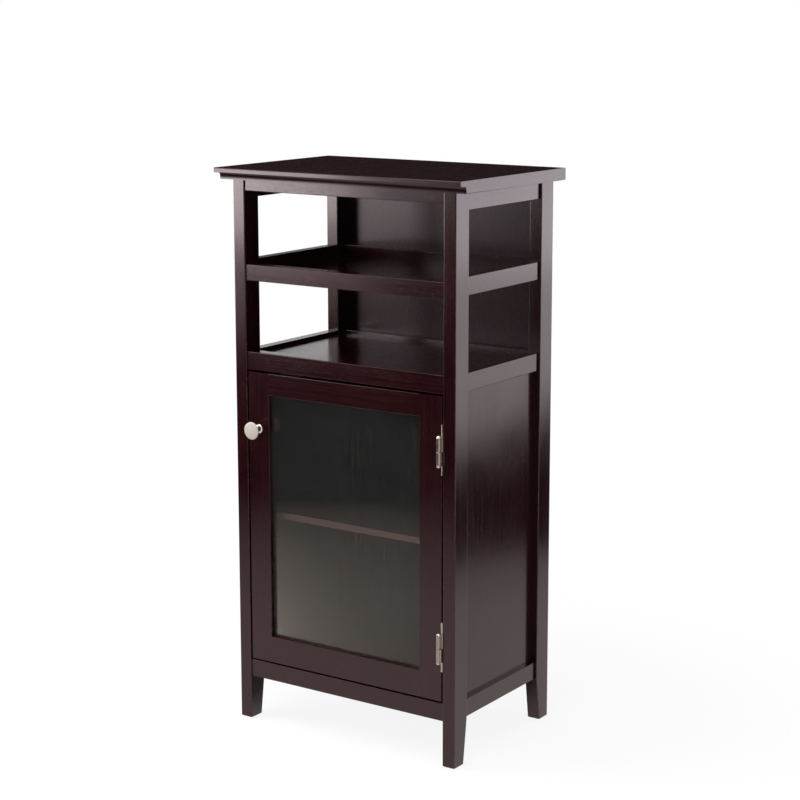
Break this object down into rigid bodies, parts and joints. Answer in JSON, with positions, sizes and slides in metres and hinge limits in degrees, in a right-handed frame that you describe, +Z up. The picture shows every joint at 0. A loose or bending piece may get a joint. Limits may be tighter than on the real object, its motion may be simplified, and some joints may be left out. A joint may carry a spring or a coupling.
{
  "type": "wine cabinet",
  "caption": "Tall espresso wood wine cabinet with an open bottle rack under its top, an open shelf, and a glazed door hinged on the right.",
  "frame": {"origin": "on the floor, under the middle of the top board (bottom centre of the bounding box)", "axes": "+Z up; the door and the moulded edge of the top face -Y; +X is the right side as seen from the front"},
  "size_m": [0.485, 0.32, 0.953],
  "materials": {
    "espresso_lacquer": "dark espresso stain under satin lacquer",
    "espresso_panel": "espresso panel, satin",
    "clear_glass": "clear float glass",
    "satin_nickel": "satin nickel",
    "zinc_steel": "zinc plated",
    "brown_plastic": "moulded, dark brown",
    "black_plastic": "moulded, black"
  },
  "bodies": {
    "frame": {"top_board": "espresso_lacquer", "post_front_left": "espresso_lacquer", "post_front_right": "espresso_lacquer", "post_rear_left": "espresso_lacquer", "post_rear_right": "espresso_lacquer", "foot_glide_front_left": "black_plastic", "foot_glide_front_right": "black_plastic", "foot_glide_rear_left": "black_plastic", "foot_glide_rear_right": "black_plastic", "base_rail_front": "espresso_lacquer", "base_rail_rear": "espresso_lacquer", "base_rail_left": "espresso_lacquer", "base_rail_right": "espresso_lacquer", "shelf_rail_front": "espresso_lacquer", "shelf_rail_rear": "espresso_lacquer", "shelf_rail_left": "espresso_lacquer", "shelf_rail_right": "espresso_lacquer", "rack_rail_front": "espresso_lacquer", "rack_rail_rear": "espresso_lacquer", "rack_rail_left": "espresso_lacquer", "rack_rail_right": "espresso_lacquer", "apron_front": "espresso_lacquer", "apron_rear": "espresso_lacquer", "apron_left": "espresso_lacquer", "apron_right": "espresso_lacquer", "base_panel": "espresso_panel", "shelf_panel": "espresso_panel", "rack_panel": "espresso_panel", "side_panel_left": "espresso_panel", "side_panel_right": "espresso_panel", "back_panel": "espresso_panel", "inner_shelf": "espresso_lacquer", "shelf_pin_front_left": "satin_nickel", "shelf_pin_front_right": "satin_nickel", "shelf_pin_rear_left": "satin_nickel", "shelf_pin_rear_right": "satin_nickel", "hinge_upper_frame_leaf": "satin_nickel", "hinge_lower_frame_leaf": "satin_nickel", "hinge_upper_pin": "satin_nickel", "hinge_lower_pin": "satin_nickel", "catch_housing": "brown_plastic", "catch_magnet": "zinc_steel"},
    "door": {"door_stile_left": "espresso_lacquer", "door_stile_right": "espresso_lacquer", "door_rail_top": "espresso_lacquer", "door_rail_bottom": "espresso_lacquer", "door_glass": "clear_glass", "glass_bead_top": "espresso_lacquer", "glass_bead_bottom": "espresso_lacquer", "glass_bead_left": "espresso_lacquer", "glass_bead_right": "espresso_lacquer", "hinge_upper_door_leaf": "satin_nickel", "hinge_lower_door_leaf": "satin_nickel", "knob": "satin_nickel", "knob_screw": "zinc_steel", "strike_plate": "zinc_steel"}
  },
  "joints": [
    {"name": "door_hinge", "type": "hinge", "parent": "frame", "child": "door", "pos_m": [0.1919, -0.14265, 0.364], "axis": [0, 0, 1], "range_deg": [0, 198]}
  ]
}
